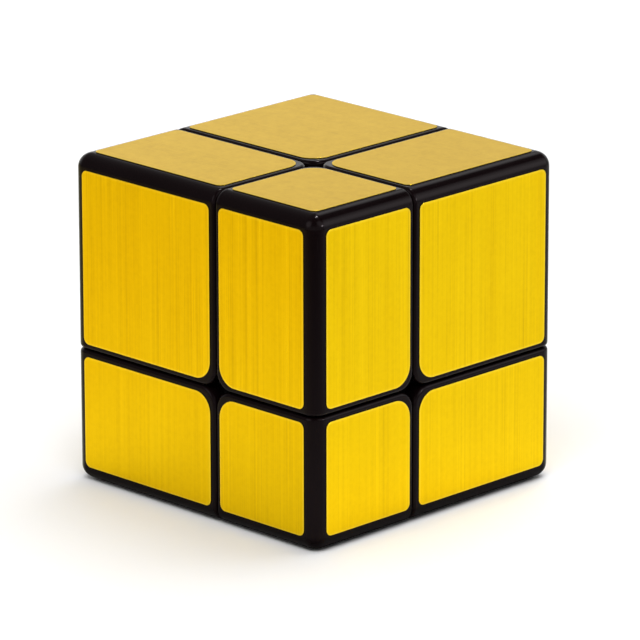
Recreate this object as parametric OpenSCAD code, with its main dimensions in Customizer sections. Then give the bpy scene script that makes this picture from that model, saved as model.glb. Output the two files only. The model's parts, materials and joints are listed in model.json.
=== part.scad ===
// Two-by-two twisty puzzle cube with unequal layers (a "mirror" cube).
// Eight corner pieces of different sizes carry metallic films on their
// outer faces. They are held by a hidden ball mechanism: a core with six
// arms, six spring-loaded centre caps and twelve edge sliders.
//
// Frame: the cube stands on z = 0 and is centred on the Z axis.
// +X is the right face, -Y the front face and +Z the top.

/* [Cube] */
// Overall edge length, measured over the films
edge = 50; // [49.6:0.1:52]
// Distance from the cube's middle to each of the three cutting planes
cut_shift = 4.7; // [4.3:0.1:4.9]
// Gap between neighbouring layers
layer_gap = 0.2; // [0.16:0.02:0.3]
// Radius of the outer edges
edge_r = 2.2; // [1.6:0.1:2.4]
// Radius of the edges along the seams
seam_r = 0.6; // [0.4:0.05:0.8]
// Radius of the edges that run in along the turning axes
axis_r = 2.8; // [2:0.1:3]

/* [Films] */
// Thickness of the metallic film
film_t = 0.12; // [0.08:0.01:0.16]
// Bare margin between a film and an outer edge of the cube
film_outer = 2.3; // [2:0.1:2.8]
// Bare margin between a film and the middle of a seam
film_seam = 0.96; // [0.8:0.02:1.2]
// Corner radius of a film
film_r = 1; // [0.5:0.1:1.5]
// Corner radius of a film beside a turning axis
film_axis_r = 3; // [2.4:0.1:3.4]

/* [Corner pieces] */
// Thickness of the outer cover of a corner piece
cover_t = 2.4; // [2:0.1:2.6]
// Wall of the inner half of a corner piece
wall = 1.5; // [1.2:0.1:1.8]
// Clearance between the cover and the inner half
cover_gap = 0.05; // [0.04:0.01:0.1]
// Radius of the peg that joins the two halves
peg_r = 2; // [1.6:0.1:2.2]

/* [Mechanism] */
// Outer radius of the ball mechanism
ball_r = 16.6; // [16.4:0.1:16.8]
// Thickness of the ball's outer layer
flange_t = 2.85; // [2.6:0.05:3]
// Half width of the centre caps and edge sliders at the surface
cap_half = 6; // [5.8:0.1:6.2]
// Half width of the sliders' feet
foot_half = 4.05; // [3.9:0.05:4.2]
// Radius of the core's ball
core_r = 7.2; // [6.8:0.1:7.3]
// Radius of the core's six arms
arm_r = 2.8; // [2.6:0.05:2.85]
// Radius of the tension screws' thread
screw_r = 1.25; // [1.1:0.05:1.3]
// Wire diameter of the tension springs
wire = 0.55; // [0.4:0.05:0.6]
// Turns in a tension spring
spring_turns = 4; // [3:0.5:4.5]

/* [Hidden] */
// Reach of thin and thick layers from the crossing of the cutting planes
thin = edge / 2 - cut_shift;
thick = edge / 2 + cut_shift;
crossing = [cut_shift, -cut_shift, thin];
half_gap = layer_gap / 2;

// Radii from the crossing: the corners' cavity, the flanges and the feet
cavity_r = ball_r + 0.15;
flange_in = ball_r - flange_t;
foot_out = flange_in - 0.25;
foot_in = 8.35;

// Clearances, and how far necks sink into the parts they join
side_gap = 0.1;
bore_gap = 0.05;
neck_in_foot = 0.3;
neck_in_flange = 0.4;
cap_inset = cap_half - side_gap;
cap_outset = cap_half + side_gap;
foot_inset = foot_half - side_gap;
foot_outset = foot_half + side_gap;

// Heights along an arm, from the crossing
arm_end = 9.6;
seat_z = 10.85;
head_z = 14.8;
washer_z = head_z - 0.5;
screw_hole_r = screw_r + 0.1;

// Cutting shapes: overshoot, and sizes past the ball and past the cube
cut_extra = 1;
past_ball = 20;
past_cube = 60;
ball_sides = 96;

plastic = [0.07, 0.06, 0.065];
inner_black = [0.16, 0.16, 0.17];
gold = [0.91, 0.73, 0.12];
steel = [0.72, 0.73, 0.75];
white_nylon = [0.86, 0.86, 0.83];

// Directions of the six faces
UP = [0, 0, 1];
DOWN = [0, 0, -1];
FRONT = [0, -1, 0];
BACK = [0, 1, 0];
LEFT = [-1, 0, 0];
RIGHT = [1, 0, 0];
FACES = [UP, DOWN, FRONT, BACK, LEFT, RIGHT];

// Edges whose sliders are pegged into the core
PEGGED_EDGES = [[DOWN, BACK], [DOWN, LEFT], [BACK, LEFT]];

function uniform(value) = [value, value, value];

// How far a corner piece reaches from the cutting planes, films included
function reach(signs) = [signs.x > 0 ? thin : thick,
                         signs.y < 0 ? thin : thick,
                         signs.z < 0 ? thin : thick];

// The same reach without the films
function bare_reach(signs) = reach(signs) - uniform(film_t);

// ---------- placing ----------

// Puts a shape drawn about the crossing of the cutting planes in place
module centred() {
    translate(crossing) children();
}

// Mirrors a shape drawn in the +X +Y +Z octant into the octant of signs
module octant(signs) {
    mirror([signs.x < 0 ? 1 : 0, 0, 0])
        mirror([0, signs.y < 0 ? 1 : 0, 0])
            mirror([0, 0, signs.z < 0 ? 1 : 0]) children();
}

// Turns a shape so that its X, Y, Z axes point along Y, Z, X, so many times
module cycled(times) {
    if (times == 0) children();
    else rotate([90, 0, 90]) cycled(times - 1) children();
}

// Turns a shape drawn along +Z so that it points along a face direction
module aim(face) {
    if (face.z != 0) rotate([face.z < 0 ? 180 : 0, 0, 0]) children();
    else if (face.x != 0) rotate([0, face.x * 90, 0]) children();
    else rotate([-face.y * 90, 0, 0]) children();
}

// Repeats a shape drawn along +Z on all six faces
module on_every_face() {
    for (face = FACES) aim(face) children();
}

// Places a shape drawn between +Y and +Z between two face directions
module between(face_a, face_b) {
    signs = face_a + face_b;
    times = signs.x == 0 ? 0 : signs.y == 0 ? 1 : 2;
    octant(signs) cycled(times) children();
}

// Tips a shape drawn along +Z to point halfway between +Y and +Z
module halfway() {
    rotate([-45, 0, 0]) children();
}

// ---------- basic shapes ----------

// Rectangle from low to high with its own radius at each corner:
// r_low at low, r_x where only x is high, r_high at high, r_y where only y is
module rounded(low, high, r_low, r_x, r_high, r_y) {
    polygon([[low.x + r_low, low.y], [high.x - r_x, low.y],
             [high.x, low.y + r_x], [high.x, high.y - r_high],
             [high.x - r_high, high.y], [low.x + r_y, high.y],
             [low.x, high.y - r_y], [low.x, low.y + r_low]]);
    translate([low.x + r_low, low.y + r_low]) circle(r_low, $fn = 48);
    translate([high.x - r_x, low.y + r_x]) circle(r_x, $fn = 32);
    translate([high.x - r_high, high.y - r_high]) circle(r_high, $fn = 48);
    translate([low.x + r_y, high.y - r_y]) circle(r_y, $fn = 32);
}

// One face outline of a corner piece
module outline(width, height) {
    rounded([half_gap, half_gap], [width, height], axis_r, seam_r, edge_r, seam_r);
}

// Rounded block that reaches size from the cutting planes
module block(size) {
    intersection() {
        linear_extrude(size.z) outline(size.x, size.y);
        cycled(1) linear_extrude(size.x) outline(size.y, size.z);
        cycled(2) linear_extrude(size.y) outline(size.z, size.x);
        translate(uniform(half_gap)) cube(size - uniform(half_gap));
    }
}

// Part of a hollow ball inside a box with its low corner at start
module ball_part(r_in, r_out, start, size) {
    intersection() {
        difference() {
            sphere(r_out, $fn = ball_sides);
            sphere(r_in, $fn = ball_sides);
        }
        translate(start) cube(size);
    }
}

// Round bar along Z between two heights
module rod(from, to, radius, sides) {
    translate([0, 0, from]) cylinder(h = to - from, r = radius, $fn = sides);
}

// Round bar along the space diagonal of the +X +Y +Z octant
module diagonal(from, to, radius) {
    rotate([0, 54.7356, 45]) rod(from, to, radius, 48);
}

// ---------- corner pieces ----------

peg_start = 19.2; // along the diagonal
peg_inset = 1.1; // from the cover's outer faces to the peg's end
boss_end = 25.4; // along the diagonal
boss_wall = 1.2;
socket_floor = 0.4; // beyond the wall round the ball

// Outer cover: three plates and the peg
module corner_cover(signs) {
    size = bare_reach(signs);
    color(plastic) centred() octant(signs) {
        difference() {
            block(size);
            translate(-uniform(cut_extra))
                cube(size - uniform(cover_t - cut_extra));
        }
        intersection() {
            diagonal(peg_start, past_cube, peg_r);
            cube(size - uniform(peg_inset));
        }
    }
}

// Hollow of the inner half, leaving its walls and the socket's boss
module foot_hollow() {
    difference() {
        translate(uniform(half_gap + wall)) cube(past_cube);
        sphere(cavity_r + wall, $fn = ball_sides);
        diagonal(cavity_r, boss_end, peg_r + boss_wall);
    }
}

// Inner half: cut-face walls, socket, neck and retaining foot
module corner_foot(signs) {
    size = bare_reach(signs);
    color(inner_black) centred() octant(signs) {
        difference() {
            intersection() {
                block(size);
                cube(size - uniform(cover_t + cover_gap));
            }
            sphere(cavity_r, $fn = ball_sides);
            foot_hollow();
            diagonal(cavity_r + wall + socket_floor, past_cube, peg_r + bore_gap);
        }
        ball_part(foot_out - neck_in_foot, cavity_r + neck_in_flange,
                  uniform(cap_outset), past_ball);
        ball_part(foot_in, foot_out, uniform(foot_outset), past_ball);
    }
}

// One film, lying on z = 0, for a face of the given reach
module film(width, height) {
    linear_extrude(film_t)
        rounded([film_seam, film_seam], [width - film_outer, height - film_outer],
                film_axis_r, film_r, film_r, film_r);
}

// Three metallic films, one on each outer face
module films(signs) {
    size = reach(signs);
    color(gold) centred() octant(signs) {
        translate([0, 0, size.z - film_t]) film(size.x, size.y);
        translate([size.x - film_t, 0, 0]) cycled(1) film(size.y, size.z);
        translate([0, size.y - film_t, 0]) cycled(2) film(size.z, size.x);
    }
}

// ---------- centre caps, sliders and core ----------

cap_box_z = 5; // bottom of the box that cuts a cap from the ball
hub_bottom = 7.6;
spring_well_r = 3;
slider_peg_r = 1.2;
slider_peg_z = 5.3;
slider_socket_z = 5;
slider_peg_length = 4; // also the length of its socket's cut
screw_hole_z = 3.2;
screw_hole_depth = 8;

// Centre cap with its hub, running on an arm of the core
module centre_cap(face) {
    color(inner_black) centred() aim(face) difference() {
        union() {
            ball_part(flange_in, ball_r, [-cap_inset, -cap_inset, cap_box_z],
                      [2 * cap_inset, 2 * cap_inset, past_ball]);
            rod(hub_bottom, flange_in + neck_in_flange, foot_inset, 64);
        }
        rod(hub_bottom - cut_extra, arm_end + bore_gap, arm_r + bore_gap, 48);
        rod(0, seat_z + cut_extra, screw_hole_r, 32);
        rod(seat_z, seat_z + 10, spring_well_r, 48);
    }
}

// Layer of a slider: half_width to each side in X, past start in Y and Z
module slider_part(r_in, r_out, half_width, start) {
    ball_part(r_in, r_out, [-half_width, start, start],
              [2 * half_width, past_ball, past_ball]);
}

// Edge slider: flange in the outer layer, foot under the caps and a neck,
// with a peg into the core on the pegged edges
module edge_slider(face_a, face_b) {
    color(inner_black) centred() between(face_a, face_b) {
        slider_part(flange_in, ball_r, cap_inset, cap_outset);
        slider_part(foot_in, foot_out, foot_inset, foot_outset);
        slider_part(foot_out - neck_in_foot, flange_in + neck_in_flange,
                    foot_inset, cap_outset);
        for (pair = PEGGED_EDGES)
            if (pair == [face_a, face_b])
                halfway() rod(slider_peg_z, slider_peg_z + slider_peg_length,
                              slider_peg_r, 32);
    }
}

// Core: ball, six arms with screw holes, three sockets for pegged sliders
module core() {
    color(white_nylon) centred() difference() {
        union() {
            sphere(core_r, $fn = ball_sides);
            on_every_face() rod(0, arm_end, arm_r, 48);
        }
        on_every_face()
            rod(screw_hole_z, screw_hole_z + screw_hole_depth, screw_r + bore_gap, 32);
        for (pair = PEGGED_EDGES)
            between(pair[0], pair[1]) halfway()
                rod(slider_socket_z, slider_socket_z + slider_peg_length,
                    slider_peg_r + bore_gap, 32);
    }
}

// ---------- tension screws, springs and washers ----------

tip_r = 0.6;
tip_z = 3.5;
thread_z = 4.1;
thread_root = screw_r - 0.25;
thread_pitch = 0.75;
thread_rings = 7;
head_r = 2.7;
head_top = 16.1;
head_bevel = 0.4;
cross_length = 3.2;
cross_width = 0.6;
cross_floor = 15.2;
spring_r = 2.45; // to the middle of the wire
washer_r = 2.8;

// Half profile of a tension screw: radius, height
function screw_profile() = concat(
    [[0, tip_z], [tip_r, tip_z], [thread_root, thread_z]],
    [for (i = [0:thread_rings - 1])
        let (ring_z = thread_z + i * thread_pitch)
        each [[thread_root, ring_z + 0.05], [screw_r, ring_z + 0.3],
              [screw_r, ring_z + 0.4], [thread_root, ring_z + 0.65]]],
    [[thread_root, thread_z + thread_rings * thread_pitch + 0.1],
     [screw_r, thread_z + thread_rings * thread_pitch + 0.4],
     [screw_r, head_z], [head_r, head_z], [head_r, head_top - head_bevel],
     [head_r - head_bevel, head_top], [0, head_top]]);

// Tension screw with ringed thread and cross recess
module tension_screw(face) {
    color(steel) centred() aim(face) difference() {
        rotate_extrude($fn = 32) polygon(screw_profile());
        for (angle = [0, 90]) rotate([0, 0, angle])
            translate([-cross_length / 2, -cross_width / 2, cross_floor])
                cube([cross_length, cross_width, 2]);
    }
}

// Compression spring with flattened ends, from the cap's seat to the washer
module spring() {
    steps_per_turn = 16;
    sides = 6;
    wire_r = wire / 2;
    end_gap = 0.02;
    steps = round(spring_turns * steps_per_turn);
    rise = washer_z - seat_z - wire - 2 * end_gap;
    lead = 0.14; // share of the wire's run over which each end eases in
    ease = 0.35; // share of rise gained in each lead, divided by lead

    // Share of the rise reached at share t of the run
    function lift(t) = t < lead ? ease * t * t / lead
        : t > 1 - lead ? 1 - ease * (1 - t) * (1 - t) / lead
        : ease * lead + (t - lead) * (1 - 2 * ease * lead) / (1 - 2 * lead);

    points = [for (i = [0:steps]) for (k = [0:sides - 1])
        let (turn = i * 360 / steps_per_turn, around = k * 360 / sides,
             radius = spring_r + wire_r * cos(around))
        [radius * cos(turn), radius * sin(turn),
         seat_z + wire_r + end_gap + rise * lift(i / steps) + wire_r * sin(around)]];
    faces = concat(
        [[for (k = [0:sides - 1]) k]],
        [for (i = [0:steps - 1]) for (k = [0:sides - 1])
            let (this = i * sides + k, next = i * sides + (k + 1) % sides)
            [this, this + sides, next + sides, next]],
        [[for (k = [sides - 1:-1:0]) steps * sides + k]]);
    polyhedron(points, faces, convexity = 8);
}

module tension_springs() {
    color(steel) centred() on_every_face() spring();
}

// Washers between the springs and the screw heads
module spring_washers() {
    color(steel) centred() on_every_face() difference() {
        rod(washer_z, head_z, washer_r, 48);
        rod(washer_z - cut_extra, head_z + cut_extra, screw_hole_r, 32);
    }
}

// ---------- nodes ----------

core();

centre_cap(UP);  // centre_cap_up
centre_cap(DOWN);  // centre_cap_down
centre_cap(FRONT);  // centre_cap_front
centre_cap(BACK);  // centre_cap_back
centre_cap(LEFT);  // centre_cap_left
centre_cap(RIGHT);  // centre_cap_right

tension_screw(UP);  // tension_screw_up
tension_screw(DOWN);  // tension_screw_down
tension_screw(FRONT);  // tension_screw_front
tension_screw(BACK);  // tension_screw_back
tension_screw(LEFT);  // tension_screw_left
tension_screw(RIGHT);  // tension_screw_right

tension_springs();
spring_washers();

edge_slider(UP, FRONT);  // edge_slider_up_front
edge_slider(UP, BACK);  // edge_slider_up_back
edge_slider(UP, LEFT);  // edge_slider_up_left
edge_slider(UP, RIGHT);  // edge_slider_up_right
edge_slider(DOWN, FRONT);  // edge_slider_down_front
edge_slider(DOWN, BACK);  // edge_slider_down_back
edge_slider(DOWN, LEFT);  // edge_slider_down_left
edge_slider(DOWN, RIGHT);  // edge_slider_down_right
edge_slider(FRONT, LEFT);  // edge_slider_front_left
edge_slider(FRONT, RIGHT);  // edge_slider_front_right
edge_slider(BACK, LEFT);  // edge_slider_back_left
edge_slider(BACK, RIGHT);  // edge_slider_back_right

corner_cover([1, -1, 1]);  // corner_cover_up_front_right
corner_cover([-1, -1, 1]);  // corner_cover_up_front_left
corner_cover([1, 1, 1]);  // corner_cover_up_back_right
corner_cover([-1, 1, 1]);  // corner_cover_up_back_left
corner_cover([1, -1, -1]);  // corner_cover_down_front_right
corner_cover([-1, -1, -1]);  // corner_cover_down_front_left
corner_cover([1, 1, -1]);  // corner_cover_down_back_right
corner_cover([-1, 1, -1]);  // corner_cover_down_back_left

corner_foot([1, -1, 1]);  // corner_foot_up_front_right
corner_foot([-1, -1, 1]);  // corner_foot_up_front_left
corner_foot([1, 1, 1]);  // corner_foot_up_back_right
corner_foot([-1, 1, 1]);  // corner_foot_up_back_left
corner_foot([1, -1, -1]);  // corner_foot_down_front_right
corner_foot([-1, -1, -1]);  // corner_foot_down_front_left
corner_foot([1, 1, -1]);  // corner_foot_down_back_right
corner_foot([-1, 1, -1]);  // corner_foot_down_back_left

films([1, -1, 1]);  // films_up_front_right
films([-1, -1, 1]);  // films_up_front_left
films([1, 1, 1]);  // films_up_back_right
films([-1, 1, 1]);  // films_up_back_left
films([1, -1, -1]);  // films_down_front_right
films([-1, -1, -1]);  // films_down_front_left
films([1, 1, -1]);  // films_down_back_right
films([-1, 1, -1]);  // films_down_back_left
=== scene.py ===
import json
import math
import random

import bmesh
import bpy
from mathutils import Matrix, Vector

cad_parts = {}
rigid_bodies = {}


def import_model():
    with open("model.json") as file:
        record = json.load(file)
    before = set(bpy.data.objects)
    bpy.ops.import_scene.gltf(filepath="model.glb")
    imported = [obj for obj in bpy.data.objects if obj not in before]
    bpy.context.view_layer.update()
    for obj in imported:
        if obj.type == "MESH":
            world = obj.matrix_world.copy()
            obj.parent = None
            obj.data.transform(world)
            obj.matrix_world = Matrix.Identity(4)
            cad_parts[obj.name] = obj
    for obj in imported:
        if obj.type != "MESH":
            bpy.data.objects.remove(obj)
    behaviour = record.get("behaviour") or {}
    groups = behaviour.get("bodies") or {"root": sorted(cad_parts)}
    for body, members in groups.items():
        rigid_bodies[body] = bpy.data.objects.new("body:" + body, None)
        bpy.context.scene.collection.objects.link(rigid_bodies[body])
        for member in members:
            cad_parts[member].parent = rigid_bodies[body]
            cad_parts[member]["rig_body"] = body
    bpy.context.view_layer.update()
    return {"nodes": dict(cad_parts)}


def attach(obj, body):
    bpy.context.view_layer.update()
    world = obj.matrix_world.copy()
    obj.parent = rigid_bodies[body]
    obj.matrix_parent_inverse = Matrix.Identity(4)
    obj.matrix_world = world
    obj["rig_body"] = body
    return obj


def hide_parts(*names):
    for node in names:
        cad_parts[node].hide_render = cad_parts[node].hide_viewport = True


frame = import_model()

# A 2x2x2 cube puzzle, 50 mm wide, with cutting planes off its centre, so that
# the eight corner pieces differ in size. Black covers carry gold films. It
# stands on z = 0, centred on x = y = 0: front is -Y, right is +X, up is +Z.
# Pieces are modelled in mm in the +X +Y +Z octant, then mirrored into place
# and scaled to metres.

# ------------------------------------------------------------------
# Sizes in mm
# ------------------------------------------------------------------
MM = 0.001
HALF = 25.0                       # half the cube's width
SHIFT = 4.7                       # from the cube's centre to each cutting plane
MID = Vector((SHIFT, -SHIFT, HALF - SHIFT))    # where the planes meet
THIN, THICK = HALF - SHIFT, HALF + SHIFT       # from the planes to the faces
SEAM_HALF_GAP = 0.04              # from a cutting plane to a cover

COVER_WALL = 2.4
COVER_EDGE_R = 2.2                # outer edges
COVER_AXIS_R = 2.8                # edges along the turning axes
COVER_SEAM_R = 0.6                # edges along the seams
COVER_OVERSHOOT = 1.0             # of the hollowing cutter past the planes
PEG_R, PEG_START, PEG_LENGTH = 2.0, 19.2, 41.0
PEG_COVERED = 1.1                 # from the trimmed peg end to the outer faces

FILM_T = 0.12
FILM_BEAD = 0.05                  # radius of the upper edge
FILM_OUTER_GAP = 2.3              # from the cube's faces to the outline
FILM_SEAM_GAP = 0.96              # from the cutting planes to the outline
FILM_R, FILM_AXIS_R = 1.0, 3.0    # outline corners, and the one at the axis
BRUSH_UV_PER_MM = 0.01

# ------------------------------------------------------------------
# Corner pieces
# ------------------------------------------------------------------
# word: (axis, side)
SIDES = {"up": (2, 1), "down": (2, -1), "front": (1, -1), "back": (1, 1),
         "right": (0, 1), "left": (0, -1)}
CORNERS = [(level, depth, width) for level in ("up", "down")
           for depth in ("front", "back") for width in ("right", "left")]


def corner_signs(names):
    signs = [1, 1, 1]
    for word in names:
        axis, side = SIDES[word]
        signs[axis] = side
    return signs


def corner_reach(signs):
    """Distances from the cutting planes to the cube's faces."""
    return Vector((THIN if signs[0] > 0 else THICK,
                   THIN if signs[1] < 0 else THICK,
                   THIN if signs[2] < 0 else THICK))


def inward(corner, depth):
    return corner - Vector((depth,) * 3)


# ------------------------------------------------------------------
# Mesh helpers
# ------------------------------------------------------------------
def link(name, data):
    obj = bpy.data.objects.new(name, data)
    bpy.context.scene.collection.objects.link(obj)
    return obj


def to_mesh(name, bm):
    mesh = bpy.data.meshes.new(name)
    bm.to_mesh(mesh)
    bm.free()
    return mesh


def boolean(obj, cutter, operation):
    """Applies a boolean to obj and removes the cutter."""
    modifier = obj.modifiers.new("cut", "BOOLEAN")
    modifier.operation = operation
    modifier.solver = "EXACT"
    modifier.object = cutter
    bpy.context.view_layer.update()
    depsgraph = bpy.context.evaluated_depsgraph_get()
    result = bpy.data.meshes.new_from_object(obj.evaluated_get(depsgraph))
    obj.modifiers.clear()
    before = obj.data
    obj.data = result
    bpy.data.meshes.remove(before)
    cutter_mesh = cutter.data
    bpy.data.objects.remove(cutter)
    bpy.data.meshes.remove(cutter_mesh)


def box_mesh(name, low, high):
    bm = bmesh.new()
    bmesh.ops.create_cube(bm, size=1.0)
    for vert in bm.verts:
        vert.co = Vector([high[i] if vert.co[i] > 0 else low[i]
                          for i in range(3)])
    return to_mesh(name, bm)


def bevel(bm, edges, radius, segments, **options):
    bmesh.ops.bevel(bm, geom=edges, offset=radius, offset_type="OFFSET",
                    segments=segments, profile=0.5, affect="EDGES",
                    clamp_overlap=False, **options)


def into_place(mesh, signs):
    """From mm in the +X +Y +Z octant to metres in the cube's frame."""
    mesh.transform(Matrix.Scale(MM, 4) @ Matrix.Translation(MID)
                   @ Matrix.Diagonal((*signs, 1.0)))
    if signs[0] * signs[1] * signs[2] < 0:
        mesh.flip_normals()
    mesh.update()


def smooth(obj, degrees):
    """Smooth shading that breaks at edges sharper than the given angle."""
    bm = bmesh.new()
    bm.from_mesh(obj.data)
    limit = math.radians(degrees)
    for face in bm.faces:
        face.smooth = True
    for edge in bm.edges:
        edge.smooth = not (len(edge.link_faces) != 2
                           or edge.calc_face_angle(0.0) > limit)
    bm.to_mesh(obj.data)
    bm.free()
    modifier = obj.modifiers.new("normals", "WEIGHTED_NORMAL")
    modifier.keep_sharp = True
    modifier.weight = 100


def dress(obj, material):
    obj.data.materials.clear()
    obj.data.materials.append(material)


def register(obj, node):
    """Stands in for a CAD node and moves with its body."""
    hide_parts(node)
    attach(obj, frame["nodes"][node]["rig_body"])


# ------------------------------------------------------------------
# Corner covers: three plates, rounded edges, peg towards the cube's middle
# ------------------------------------------------------------------
def rounded_block(name, outer):
    """Block from the cutting planes out to the corner point outer."""
    low = (SEAM_HALF_GAP,) * 3
    mesh = box_mesh(name, low, outer)
    bm = bmesh.new()
    bm.from_mesh(mesh)

    def edges_at(corner):
        """Edges lying in two of the three box faces that meet at corner."""
        found = []
        for edge in bm.edges:
            start, end = edge.verts[0].co, edge.verts[1].co
            level = [i for i in range(3) if abs(start[i] - end[i]) < 1e-6]
            if len(level) == 2 and all(
                    abs(start[i] - corner[i]) < 1e-6 for i in level):
                found.append(edge)
        return found

    bevel(bm, edges_at(outer), COVER_EDGE_R, segments=12)
    bevel(bm, edges_at(low), COVER_AXIS_R, segments=14)
    limit = math.radians(60)
    seams = [edge for edge in bm.edges
             if len(edge.link_faces) == 2 and edge.calc_face_angle(0.0) > limit]
    bevel(bm, seams, COVER_SEAM_R, segments=5, loop_slide=True)
    bmesh.ops.recalc_face_normals(bm, faces=bm.faces)
    bm.to_mesh(mesh)
    bm.free()
    return mesh


def diagonal_bar(start, length, radius):
    """Round bar along the (1, 1, 1) diagonal."""
    bm = bmesh.new()
    bmesh.ops.create_cone(bm, cap_ends=True, segments=48, radius1=radius,
                          radius2=radius, depth=length)
    axis = Vector((1, 1, 1)).normalized()
    turn = Vector((0, 0, 1)).rotation_difference(axis).to_matrix().to_4x4()
    place = Matrix.Translation(axis * (start + length / 2)) @ turn
    bmesh.ops.transform(bm, matrix=place, verts=bm.verts)
    return to_mesh("bar", bm)


def corner_cover(names, material):
    signs = corner_signs(names)
    outer = inward(corner_reach(signs), FILM_T)
    label = "_".join(names)
    cover = link("cover_" + label, rounded_block("cover_" + label, outer))
    hollow = link("cutter", box_mesh("cutter", (-COVER_OVERSHOOT,) * 3,
                                     inward(outer, COVER_WALL)))
    boolean(cover, hollow, "DIFFERENCE")
    peg = link("cutter", diagonal_bar(PEG_START, PEG_LENGTH, PEG_R))
    trim = link("trim", box_mesh("trim", (0, 0, 0),
                                 inward(outer, PEG_COVERED)))
    boolean(peg, trim, "INTERSECT")
    boolean(cover, peg, "UNION")
    into_place(cover.data, signs)
    smooth(cover, degrees=35.0)
    dress(cover, material)
    register(cover, "corner_cover_" + label)


# ------------------------------------------------------------------
# Films: rounded sheets with a softened upper edge
# ------------------------------------------------------------------
# (across, along) axes of the brushing on the faces across X, Y and Z
BRUSH_AXES = ((1, 2), (0, 2), (1, 0))
# how strongly each face is brushed, by piece and the axis it looks along
SIDE_BRUSHING, TOP_BRUSHING = 0.8, 0.22
BRUSHING = {
    ("up", "back", "right", 0): 0.74, ("up", "front", "right", 0): 0.74,
    ("down", "back", "right", 0): 0.62, ("down", "front", "right", 0): 0.52,
    ("up", "front", "left", 1): 0.86, ("up", "front", "right", 1): 0.95,
    ("down", "front", "left", 1): 0.42, ("down", "front", "right", 1): 0.72}


def film_outline(width, height, inset):
    """Closed outline, anticlockwise, with the big radius at the axis."""
    low = FILM_SEAM_GAP + inset
    right = width - FILM_OUTER_GAP - inset
    top = height - FILM_OUTER_GAP - inset
    axis_r, radius = FILM_AXIS_R - inset, FILM_R - inset
    # x, y, radius, way to the arc's centre in x and y, start angle, steps
    corners = ((low, low, axis_r, 1, 1, 180, 20),
               (right, low, radius, -1, 1, 270, 12),
               (right, top, radius, -1, -1, 0, 12),
               (low, top, radius, 1, -1, 90, 12))
    points = []
    for x, y, arc_r, way_x, way_y, start, steps in corners:
        for i in range(steps + 1):
            angle = math.radians(start + 90.0 * i / steps)
            points.append((x + way_x * arc_r + arc_r * math.cos(angle),
                           y + way_y * arc_r + arc_r * math.sin(angle)))
    return points


def film_sheet(bm, reach, out, signs, uv_shift, brushed):
    """Adds the sheet facing axis out. The vertices carry the painted highlight on
    the rim, how dark the cut edge is and how strongly the face is brushed."""
    first, second = (out + 1) % 3, (out + 2) % 3
    top = reach[out]
    # inset, height, painted rim highlight, darkness: underside, bead, then the
    # flat top
    rings = [(0.0, top - FILM_T, 1.0, 1.0)]
    for i, dark in enumerate((1.0, 0.75, 0.25, 0.0)):
        angle = math.radians(90.0 * i / 3)
        rings.append((FILM_BEAD * (1 - math.cos(angle)),
                      top - FILM_BEAD + FILM_BEAD * math.sin(angle), 1.0, dark))
    rings += [(0.14, top, 0.8, 0.0), (0.42, top, 0.0, 0.0)]

    rim_sheen_layer, cut_layer, brushed_layer = (
        bm.verts.layers.float[name] for name in ("rim_sheen", "cut", "brushed"))
    loops = []
    for inset, height, sheen, dark in rings:
        loop = []
        for x, y in film_outline(reach[first], reach[second], inset):
            place = [0.0, 0.0, 0.0]
            place[first], place[second], place[out] = x, y, height
            vert = bm.verts.new(place)
            vert[rim_sheen_layer], vert[cut_layer] = sheen, dark
            vert[brushed_layer] = brushed
            loop.append(vert)
        loops.append(loop)

    faces = []
    for lower, upper in zip(loops, loops[1:]):
        for i in range(len(lower)):
            j = (i + 1) % len(lower)
            faces.append(bm.faces.new((lower[i], lower[j], upper[j], upper[i])))
    faces.append(bm.faces.new(loops[-1]))
    faces.append(bm.faces.new(list(reversed(loops[0]))))

    uv_layer = bm.loops.layers.uv["brush"]
    for face in faces:
        for corner in face.loops:
            corner[uv_layer].uv = [
                (corner.vert.co[axis] * signs[axis] + MID[axis])
                * BRUSH_UV_PER_MM + offset
                for axis, offset in zip(BRUSH_AXES[out], uv_shift)]


def films(names, material, rng):
    signs = corner_signs(names)
    label = "_".join(names)
    bm = bmesh.new()
    for layer_name in ("rim_sheen", "cut", "brushed"):
        bm.verts.layers.float.new(layer_name)
    bm.loops.layers.uv.new("brush")
    for out in range(3):
        uv_shift = (round(rng.uniform(0, 40), 2), round(rng.uniform(0, 40), 2))
        brushed = (TOP_BRUSHING if out == 2
                   else BRUSHING.get((*names, out), SIDE_BRUSHING))
        film_sheet(bm, corner_reach(signs), out, signs, uv_shift, brushed)
    mesh = to_mesh("film_" + label, bm)
    into_place(mesh, signs)
    film = link("film_" + label, mesh)
    smooth(film, degrees=40.0)
    dress(film, material)
    register(film, "films_" + label)


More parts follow.
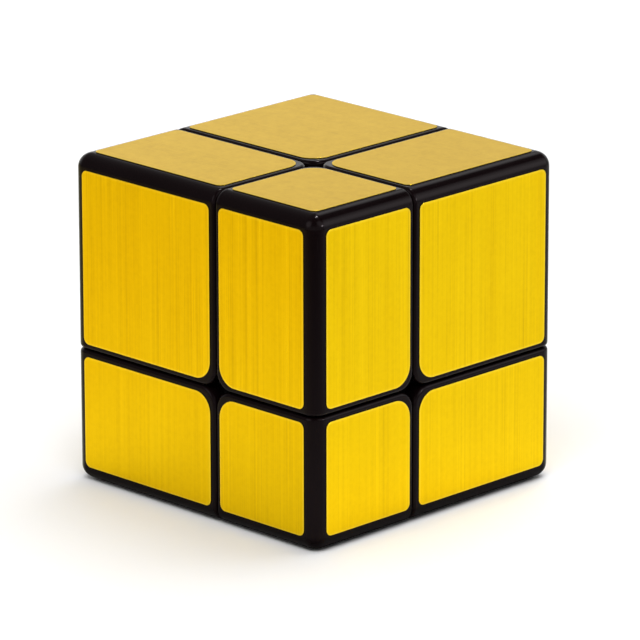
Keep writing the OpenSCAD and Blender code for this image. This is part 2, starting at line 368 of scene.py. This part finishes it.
# ------------------------------------------------------------------
# Shader networks
# ------------------------------------------------------------------
class Network:
    """Builds the node tree of a material or a world."""

    def __init__(self, owner):
        self.owner = owner
        owner.use_nodes = True
        self.tree = owner.node_tree
        self.tree.nodes.clear()

    def add(self, kind, **settings):
        node = self.tree.nodes.new(kind)
        for name, value in settings.items():
            setattr(node, name, value)
        return node

    def feed(self, socket, value):
        """Links an output to the socket, or sets its value."""
        if hasattr(value, "is_output"):
            self.tree.links.new(value, socket)
        else:
            socket.default_value = value

    def math(self, operation, first, second=0.0, clamp=False):
        node = self.add("ShaderNodeMath", operation=operation, use_clamp=clamp)
        self.feed(node.inputs[0], first)
        self.feed(node.inputs[1], second)
        return node.outputs[0]

    def plus(self, first, second):
        return self.math("ADD", first, second)

    def times(self, value, by):
        return self.math("MULTIPLY", value, by)

    def swing(self, noise, amount):
        """A noise centred on zero and scaled."""
        return self.times(self.math("SUBTRACT", noise, 0.5), by=amount)

    def coords(self, kind="Object"):
        return self.add("ShaderNodeTexCoord").outputs[kind]

    def attribute(self, name):
        node = self.add("ShaderNodeAttribute", attribute_name=name)
        return node.outputs["Fac"]

    def noise(self, vector, scale, detail, rough):
        node = self.add("ShaderNodeTexNoise", noise_dimensions="3D")
        self.feed(node.inputs["Vector"], vector)
        node.inputs["Scale"].default_value = scale
        node.inputs["Detail"].default_value = detail
        node.inputs["Roughness"].default_value = rough
        return node.outputs["Fac"]

    def stretched(self, vector, scale, detail, rough, shift=(0, 0, 0)):
        """Noise with its own scale along each axis."""
        node = self.add("ShaderNodeMapping")
        self.feed(node.inputs["Vector"], vector)
        node.inputs["Scale"].default_value = scale
        node.inputs["Location"].default_value = shift
        return self.noise(node.outputs["Vector"], 1.0, detail, rough)

    def remap(self, value, span, to=(0.0, 1.0), curve="LINEAR"):
        node = self.add("ShaderNodeMapRange", interpolation_type=curve)
        self.feed(node.inputs["Value"], value)
        for name, number in zip(("From Min", "From Max", "To Min", "To Max"),
                                (*span, *to)):
            node.inputs[name].default_value = number
        return node.outputs["Result"]

    def ramp(self, value, stops):
        """Colour by value; stops are (value, linear RGB)."""
        node = self.add("ShaderNodeValToRGB")
        self.feed(node.inputs["Fac"], value)
        elements = node.color_ramp.elements
        while len(elements) > 1:
            elements.remove(elements[-1])
        for i, (place, colour) in enumerate(stops):
            element = elements[0] if i == 0 else elements.new(place)
            element.position = place
            element.color = (*colour, 1.0)
        return node.outputs["Color"]

    def profile(self, value, top, stops):
        """Piecewise curve; stops are (value, height), heights up to top."""
        greys = [(place, (height / top,) * 3) for place, height in stops]
        return self.times(self.ramp(value, greys), by=top)

    def mix(self, factor, first, second, blend="MIX"):
        node = self.add("ShaderNodeMix", data_type="RGBA", blend_type=blend)
        self.feed(node.inputs[0], factor)
        self.feed(node.inputs[6], first)
        self.feed(node.inputs[7], second)
        return node.outputs[2]

    def bump(self, height, strength, distance, normal=None):
        node = self.add("ShaderNodeBump")
        self.feed(node.inputs["Height"], height)
        node.inputs["Strength"].default_value = strength
        node.inputs["Distance"].default_value = distance
        if normal is not None:
            self.feed(node.inputs["Normal"], normal)
        return node.outputs["Normal"]

    def principled(self, **inputs):
        """Ends the network and returns its material."""
        node = self.add("ShaderNodeBsdfPrincipled")
        for name, value in inputs.items():
            self.feed(node.inputs[name.replace("_", " ")], value)
        output = self.add("ShaderNodeOutputMaterial")
        self.feed(output.inputs["Surface"], node.outputs["BSDF"])
        return self.owner


def new_material(name):
    return Network(bpy.data.materials.new(name))


# ------------------------------------------------------------------
# Materials
# ------------------------------------------------------------------
def gold_film():
    """Brushed metallised film: streaks along the UV map's second axis."""
    net = new_material("gold_film")
    uv = net.add("ShaderNodeUVMap", uv_map="brush").outputs["UV"]
    place = net.coords()
    brushed = net.attribute("brushed")
    # streaks, coarse to fine: scale across and along, shift, detail, weight
    streak = None
    for scale, shift, detail, weight in (((85, 0.55), (0, 0), 1.0, 0.13),
                                         ((210, 0.75), (3, 7), 1.0, 0.27),
                                         ((460, 1.1), (23, 31), 1.0, 0.27),
                                         ((1250, 3.0), (11, 5), 2.0, 0.20),
                                         ((3000, 12), (17, 13), 1.0, 0.16)):
        layer = net.stretched(uv, scale=(*scale, 1), shift=(*shift, 0),
                              detail=detail, rough=0.55)
        layer = net.swing(layer, amount=weight)
        streak = layer if streak is None else net.plus(streak, layer)
    # the brushing comes in bundles, stronger here and fainter there
    bundle = net.stretched(uv, scale=(38, 3.5, 1), shift=(53, 9, 0),
                           detail=2.0, rough=0.6)
    streak = net.times(streak, net.remap(bundle, span=(0.36, 0.64),
                                         to=(0.35, 1.75)))
    streak = net.times(streak, brushed)
    cloud = net.stretched(uv, scale=(12, 7, 1), shift=(29, 3, 0),
                          detail=2.0, rough=0.5)
    mottle = net.noise(place, scale=1500.0, detail=2.0, rough=0.6)
    # the lightly brushed top and bottom are blotchy instead
    blotch = net.noise(place, scale=520.0, detail=3.0, rough=0.62)
    blotch = net.swing(blotch, amount=net.remap(brushed, span=(0.24, 0.40),
                                                to=(0.22, 0.0)))
    mean_tone = 0.54
    tone = net.plus(net.plus(mean_tone, streak), blotch)
    tone = net.plus(tone, net.swing(cloud, amount=0.07))
    tone = net.plus(tone, net.swing(mottle, amount=0.13))
    colour = net.ramp(tone, [(0.36, (0.616, 0.378, 0.0005)),
                             (mean_tone, (0.745, 0.494, 0.0009)),
                             (0.72, (0.839, 0.578, 0.0036))])
    # single darker, redder scratches that start and end, in patches
    band = net.stretched(uv, scale=(26, 2.6, 1), shift=(61, 23, 0),
                         detail=1.0, rough=0.5)
    band = net.remap(band, span=(0.50, 0.64))
    scratch = net.stretched(uv, scale=(640, 2.6, 1), shift=(41, 19, 0),
                            detail=1.0, rough=0.5)
    scratch = net.times(net.remap(scratch, span=(0.60, 0.72)), band)
    scratch = net.math("MULTIPLY", scratch, brushed, clamp=True)
    scratch_tint = (0.84, 0.74, 0.40, 1)
    colour = net.mix(net.times(scratch, by=0.70), colour, scratch_tint,
                     blend="MULTIPLY")
    # the rim carries a painted highlight, a little paler than the brushed field;
    # the cut edge is dark
    rim_sheen_gold, cut_brown = (0.90, 0.66, 0.040, 1), (0.030, 0.018, 0.008, 1)
    # painted highlight: the rim is mixed towards a paler gold
    colour = net.mix(net.times(net.attribute("rim_sheen"), by=0.50), colour, rim_sheen_gold)
    colour = net.mix(net.attribute("cut"), colour, cut_brown)
    tangent = net.add("ShaderNodeTangent", direction_type="UV_MAP",
                      uv_map="brush").outputs[0]
    return net.principled(
        Base_Color=colour, Metallic=1.0,
        Roughness=net.remap(tone, span=(0.35, 0.75), to=(0.34, 0.26)),
        Anisotropic=0.65, Tangent=tangent,
        Normal=net.bump(streak, strength=0.25, distance=0.00002),
        Specular_Tint=(1.0, 0.90, 0.76, 1.0))


def gloss_black():
    """Injection-moulded black cover: soft gloss, faint handling marks."""
    net = new_material("gloss_black")
    place = net.coords()
    flow = net.stretched(place, scale=(90, 90, 60), detail=3.0, rough=0.55)
    grain = net.noise(place, scale=5200.0, detail=2.0, rough=0.6)
    smear = net.stretched(place, scale=(260, 210, 330), shift=(3, 1, 2),
                          detail=4.0, rough=0.62)
    scratch = net.stretched(place, scale=(5200, 900, 240), shift=(5, 5, 5),
                            detail=1.0, rough=0.5)
    scratch = net.remap(scratch, span=(0.71, 0.80))
    colour = net.ramp(flow, [(0.25, (0.0028, 0.0011, 0.0013)),
                             (0.75, (0.0040, 0.0018, 0.0022))])
    rough = net.plus(net.remap(smear, span=(0.3, 0.75), to=(0.13, 0.21)),
                     net.times(scratch, by=0.12))
    # convex edges are worn a little duller
    pointiness = net.add("ShaderNodeNewGeometry").outputs["Pointiness"]
    worn = net.remap(pointiness, span=(0.55, 0.70), to=(0.0, 0.05))
    rough = net.math("ADD", rough, worn, clamp=True)
    normal = net.bump(grain, strength=0.10, distance=0.000004)
    normal = net.bump(scratch, strength=0.05, distance=0.000002, normal=normal)
    return net.principled(Base_Color=colour, Roughness=rough, Normal=normal,
                          Specular_IOR_Level=0.07, IOR=1.5,
                          Specular_Tint=(1.0, 0.86, 0.90, 1.0))


def inner_black():
    """Satin black of the parts inside, with light rub marks."""
    net = new_material("inner_black")
    place = net.coords()
    flow = net.stretched(place, scale=(120, 120, 80), detail=3.0, rough=0.55)
    grain = net.noise(place, scale=3800.0, detail=3.0, rough=0.65)
    rub = net.stretched(place, scale=(420, 380, 300), shift=(7, 2, 4),
                        detail=5.0, rough=0.65)
    rub = net.remap(rub, span=(0.48, 0.70))
    base = net.ramp(flow, [(0.25, (0.008, 0.007, 0.008)),
                           (0.75, (0.014, 0.013, 0.014))])
    rubbed_grey = (0.028, 0.027, 0.029, 1)
    return net.principled(
        Base_Color=net.mix(net.times(rub, by=0.35), base, rubbed_grey),
        Roughness=net.remap(rub, span=(0.0, 1.0), to=(0.52, 0.36)),
        Normal=net.bump(grain, strength=0.25, distance=0.000012),
        Specular_IOR_Level=0.35)


def white_nylon():
    net = new_material("white_nylon")
    place = net.coords()
    flow = net.stretched(place, scale=(160, 160, 160), detail=4.0, rough=0.6)
    grain = net.noise(place, scale=3000.0, detail=3.0, rough=0.6)
    return net.principled(
        Base_Color=net.ramp(flow, [(0.3, (0.70, 0.69, 0.64)),
                                   (0.7, (0.80, 0.80, 0.76))]),
        Roughness=net.remap(grain, span=(0.3, 0.7), to=(0.38, 0.52)),
        Normal=net.bump(grain, strength=0.2, distance=0.00001),
        Subsurface_Weight=0.15, Subsurface_Scale=0.001)


def steel(name, shade):
    """Plain steel at shade 1; near 0.2 the colour is darkened as painted shade
    for a screw deep in its recess.
    """
    net = new_material(name)
    place = net.coords()
    turning = net.stretched(place, scale=(900, 900, 9000), detail=2.0, rough=0.6)
    stain = net.stretched(place, scale=(400, 400, 400), shift=(2, 9, 1),
                          detail=4.0, rough=0.6)
    colour = net.ramp(
        stain, [(0.3, (0.46 * shade, 0.46 * shade, 0.47 * shade)),
                (0.7, (0.62 * shade, 0.63 * shade, 0.65 * shade))])
    return net.principled(
        Base_Color=colour, Metallic=1.0,
        Roughness=net.remap(turning, span=(0.3, 0.7), to=(0.22, 0.38)),
        Normal=net.bump(turning, strength=0.15, distance=0.000006))


def floor_paper():
    """White sweep that runs out into the white backdrop. In reflections only it
    carries painted shade and a painted yellow tint: darker under the cube,
    behind it and further out in front, and yellower towards the camera's left."""
    net = new_material("floor")
    place = net.coords()
    tone = net.noise(place, scale=3.0, detail=2.0, rough=0.5)
    colour = net.ramp(tone, [(0.3, (0.87, 0.87, 0.87)),
                             (0.7, (0.89, 0.89, 0.89))])
    split = net.add("ShaderNodeSeparateXYZ")
    net.feed(split.inputs[0], place)
    x, y = split.outputs[0], split.outputs[1]

    # distances in metres towards the camera, to its left and from the centre
    to_camera = (0.704, -0.710)
    front = net.plus(net.times(x, by=to_camera[0]), net.times(y, by=to_camera[1]))
    left = net.plus(net.times(x, by=to_camera[1]), net.times(y, by=-to_camera[0]))
    painted_reflection_shade = net.remap(front, span=(0.07, 0.19), to=(1.0, 0.12))
    yellowness = net.remap(left, span=(0.01, 0.13))
    far = net.math("SQRT", net.plus(net.times(x, x), net.times(y, y)))
    smallest_far = 0.01            # keeps the division finite
    facing = net.math("DIVIDE", front, net.math("MAXIMUM", far, smallest_far))
    painted_reflection_shade = net.times(painted_reflection_shade, net.remap(facing, span=(-0.80, -0.25),
                                     to=(0.42, 1.0)))
    # square bands of painted light and shade, in reflections only: slightly
    # brighter round the cube, dark under it
    near = net.math("MAXIMUM", net.math("ABSOLUTE", x),
                    net.math("ABSOLUTE", y))
    for span, ends in (((0.030, 0.075), (1.14, 1.0)),
                       ((0.025, 0.031), (0.30, 1.0))):
        painted_reflection_shade = net.times(painted_reflection_shade, net.remap(near, span=span, to=ends))
    plain, reflection_yellow = (0.985, 0.98, 0.96, 1), (1.07, 0.915, 0.43, 1)
    painted_reflection_tint = net.mix(yellowness, plain, reflection_yellow)
    painted_reflection_tint = net.mix(1.0, painted_reflection_tint, painted_reflection_shade, blend="MULTIPLY")
    # the painted shade and painted yellow tint reach reflections only
    glossy = net.add("ShaderNodeLightPath").outputs["Is Glossy Ray"]
    colour = net.mix(glossy, colour, painted_reflection_tint, blend="MULTIPLY")
    # far from the object it is as white as the backdrop; in reflections it also
    # glows further out in front, as painted light
    rays = net.add("ShaderNodeLightPath").outputs
    glow = net.plus(net.times(rays["Is Camera Ray"],
                              net.remap(far, span=(0.18, 0.50))),
                    net.times(rays["Is Glossy Ray"],
                              net.remap(front, span=(0.25, 0.50),
                                        to=(0.0, 0.8))))
    material = net.principled(Base_Color=colour, Roughness=0.6,
                              Specular_IOR_Level=0.2,
                              Emission_Color=(1, 1, 1, 1),
                              Emission_Strength=glow)
    material.cycles.emission_sampling = "NONE"
    return material


# ------------------------------------------------------------------
# Build the pieces and dress the CAD nodes
# ------------------------------------------------------------------
GOLD, BLACK, INNER = gold_film(), gloss_black(), inner_black()
NYLON = white_nylon()
# the screws' steel is darkened to shade 0.2 as painted shade for their deep
# recesses
STEEL, SCREW = steel("steel", shade=1.0), steel("screw_steel_painted_shade", shade=0.2)
# first match wins; nodes that match nothing are inner black
MATERIAL_BY_PREFIX = (("tension_screw", SCREW), ("tension", STEEL),
                      ("corner_cover", BLACK), ("films", GOLD))
MATERIAL_BY_NAME = {"core": NYLON, "spring_washers": STEEL}


def node_material(name):
    if name in MATERIAL_BY_NAME:
        return MATERIAL_BY_NAME[name]
    for prefix, material in MATERIAL_BY_PREFIX:
        if name.startswith(prefix):
            return material
    return INNER


film_rng = random.Random(20)
for corner_names in CORNERS:
    corner_cover(corner_names, BLACK)
    films(corner_names, GOLD, film_rng)
for node_name, node_object in frame["nodes"].items():
    dress(node_object, node_material(node_name))

floor = link("floor", box_mesh("floor", (-4, -4, -0.02), (4, 4, 0)))
floor.data.materials.append(floor_paper())


# ------------------------------------------------------------------
# World, lights and camera; the camera looks from azimuth -45
# ------------------------------------------------------------------
def compass(azimuth, elevation=0.0):
    """Direction in degrees, azimuth from +X towards +Y."""
    turn, lift = math.radians(azimuth), math.radians(elevation)
    return Vector((math.cos(lift) * math.cos(turn),
                   math.cos(lift) * math.sin(turn), math.sin(lift)))


def studio_world():
    """Dim studio: a low bright backdrop behind the object, a small bright
    patch above its right half, some fill at the left; plain white to the
    camera."""
    world = bpy.data.worlds.new("studio")
    bpy.context.scene.world = world
    net = Network(world)
    direction = net.coords("Generated")

    def dot(axis):
        node = net.add("ShaderNodeVectorMath", operation="DOT_PRODUCT")
        net.feed(node.inputs[0], direction)
        node.inputs[1].default_value = axis
        return node.outputs["Value"]

    height = dot(Vector((0, 0, 1)))
    level = net.math("SUBTRACT", 1.0, net.times(height, height))
    level = net.math("SQRT", net.math("MAXIMUM", level, 0.0001))

    def wall(azimuth, span):
        """Fades in towards an azimuth; span is in cosines."""
        cosine = net.math("DIVIDE", dot(compass(azimuth)), level)
        return net.remap(cosine, span=span, curve="SMOOTHSTEP")

    def patch(azimuth, elevation, span, strength):
        """Round patch; span is in cosines off its middle."""
        spot = net.remap(dot(compass(azimuth, elevation)), span=span,
                         curve="SMOOTHSTEP")
        return net.times(spot, by=strength)

    backdrop = net.times(wall(135, span=(0.30, 0.85)), net.profile(
        height, top=2.0,
        stops=[(0.0, 1.16), (0.30, 1.16), (0.35, 0.80), (0.41, 0.28),
               (0.50, 0.16), (0.62, 0.06), (0.80, 0.0)]))
    fill = net.times(wall(200, span=(0.25, 0.75)), by=0.26)
    strip = patch(117, 40, span=(0.968, 0.9985), strength=1.6)
    ambient = 0.115
    light = net.plus(net.plus(backdrop, fill), net.plus(strip, ambient))
    # a wall behind the camera and two lamps beside it, in reflections only
    rays = net.add("ShaderNodeLightPath").outputs
    front = net.times(wall(-45, span=(0.10, 0.70)), net.profile(
        height, top=1.0,
        stops=[(0.0, 0.85), (0.26, 0.85), (0.42, 0.30), (0.62, 0.0)]))
    lamps = net.plus(patch(-100, 33, span=(0.90, 0.985), strength=2.4),
                     patch(4, 38, span=(0.90, 0.99), strength=2.2))
    light = net.plus(light, net.times(net.plus(lamps, front),
                                      rays["Is Glossy Ray"]))
    shown = net.add("ShaderNodeMix", data_type="FLOAT")
    camera_white = 1.06
    net.feed(shown.inputs[0], rays["Is Camera Ray"])
    net.feed(shown.inputs[2], light)
    net.feed(shown.inputs[3], camera_white)
    background = net.add("ShaderNodeBackground")
    background.inputs["Color"].default_value = (1, 1, 1, 1)
    net.feed(background.inputs["Strength"], shown.outputs[0])
    output = net.add("ShaderNodeOutputWorld")
    net.feed(output.inputs["Surface"], background.outputs[0])


def softbox(name, azimuth, elevation, distance, size, power,
            diffuse=True, glossy=True):
    """Area light aimed at the cube's centre; distance and size in metres."""
    outward = compass(azimuth, elevation)
    data = bpy.data.lights.new(name, "AREA")
    data.shape = "RECTANGLE"
    data.size, data.size_y = size
    data.energy = power
    lamp = link(name, data)
    lamp.location = Vector((0, 0, HALF * MM)) + outward * distance
    lamp.rotation_mode = "QUATERNION"
    lamp.rotation_quaternion = (-outward).to_track_quat("-Z", "Y")
    lamp.visible_diffuse, lamp.visible_glossy = diffuse, glossy


def lights():
    softbox("overhead", azimuth=82, elevation=69, distance=1.0,
            size=(0.64, 0.64), power=5.75, glossy=False)
    softbox("front_top", azimuth=-52, elevation=58, distance=1.2,
            size=(0.9, 0.7), power=10.8, glossy=False)
    softbox("spark", azimuth=94, elevation=74, distance=0.9,
            size=(0.07, 0.05), power=5.5, diffuse=False)
    softbox("spark_low", azimuth=17, elevation=19, distance=0.9,
            size=(0.12, 0.07), power=2.0, diffuse=False)
    # nested panels at the right: elevation, size, power
    for i, (elevation, size, power) in enumerate(((20, (0.75, 0.66), 1.7),
                                                  (20, (0.62, 0.44), 0.85),
                                                  (19, (0.50, 0.24), 0.35))):
        softbox("panel_%d" % i, azimuth=46, elevation=elevation,
                distance=0.9 + 0.002 * i, size=size, power=power,
                diffuse=False)


def camera():
    azimuth, elevation, roll = -45.2439, 17.1076, math.radians(-0.0905)
    # mm from the cube's centre, along the camera's own axes
    distance, offset_right, offset_up = 855.67, 0.9413, -0.7932
    back = compass(azimuth, elevation)
    turn = math.radians(azimuth)
    right = Vector((-math.sin(turn), math.cos(turn), 0))
    up = back.cross(right)
    right, up = (math.cos(roll) * right + math.sin(roll) * up,
                 -math.sin(roll) * right + math.cos(roll) * up)
    place = (Vector((0, 0, HALF)) + back * distance + right * offset_right
             + up * offset_up) * MM
    data = bpy.data.cameras.new("camera")
    data.sensor_width = 36.0
    data.lens = 328.269375
    data.shift_x, data.shift_y = -0.00078125, 0.00078125
    data.clip_start, data.clip_end = 0.01, 20.0
    view = link("camera", data)
    view.matrix_world = Matrix((*zip(right, up, back, place), (0, 0, 0, 1)))
    bpy.context.scene.camera = view


studio_world()
lights()
camera()
bpy.context.scene.view_settings.view_transform = "Standard"
bpy.context.scene.view_settings.look = "None"
